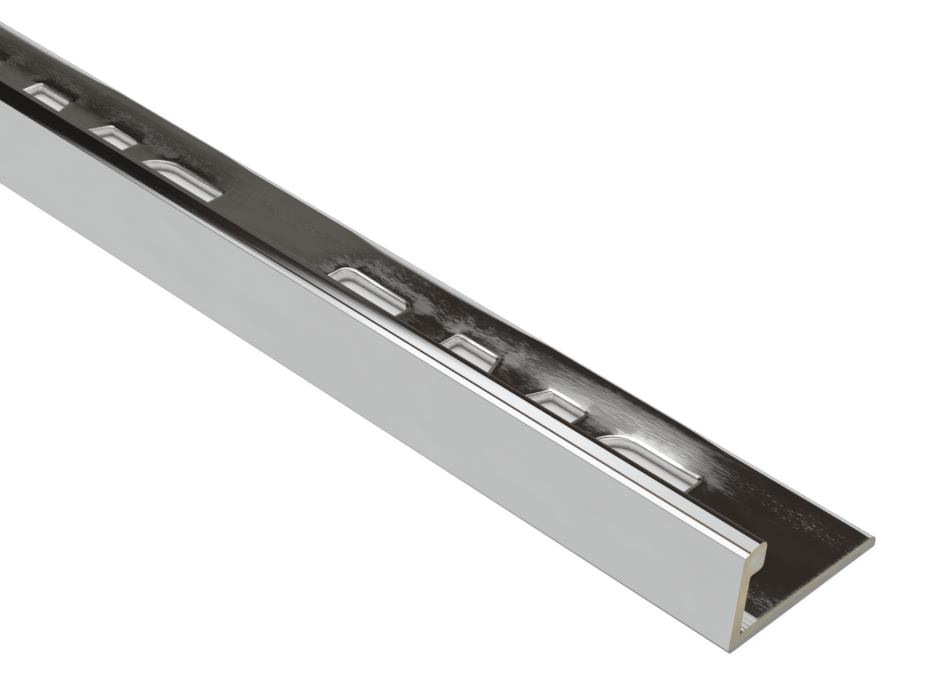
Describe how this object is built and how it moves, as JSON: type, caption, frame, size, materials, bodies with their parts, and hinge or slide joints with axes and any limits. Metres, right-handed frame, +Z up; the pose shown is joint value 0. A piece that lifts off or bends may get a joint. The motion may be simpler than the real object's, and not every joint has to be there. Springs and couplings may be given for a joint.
{
  "type": "tile edge trim",
  "caption": "Straight L-shaped metal bar that edges tiling: a polished show face with a thick bevelled lip and a punched anchoring leg that goes under the tile.",
  "frame": {"origin": "middle of the underside, halfway along the bar and halfway from the show face to the leg's far edge", "axes": "+X along the bar to the end nearest the camera, +Y from the show face to the leg's far edge, +Z up"},
  "size_m": [2.5, 0.0248, 0.0125],
  "materials": {
    "chrome_plate": "polished"
  },
  "bodies": {
    "root": {"edge_trim": "chrome_plate"}
  },
  "joints": []
}
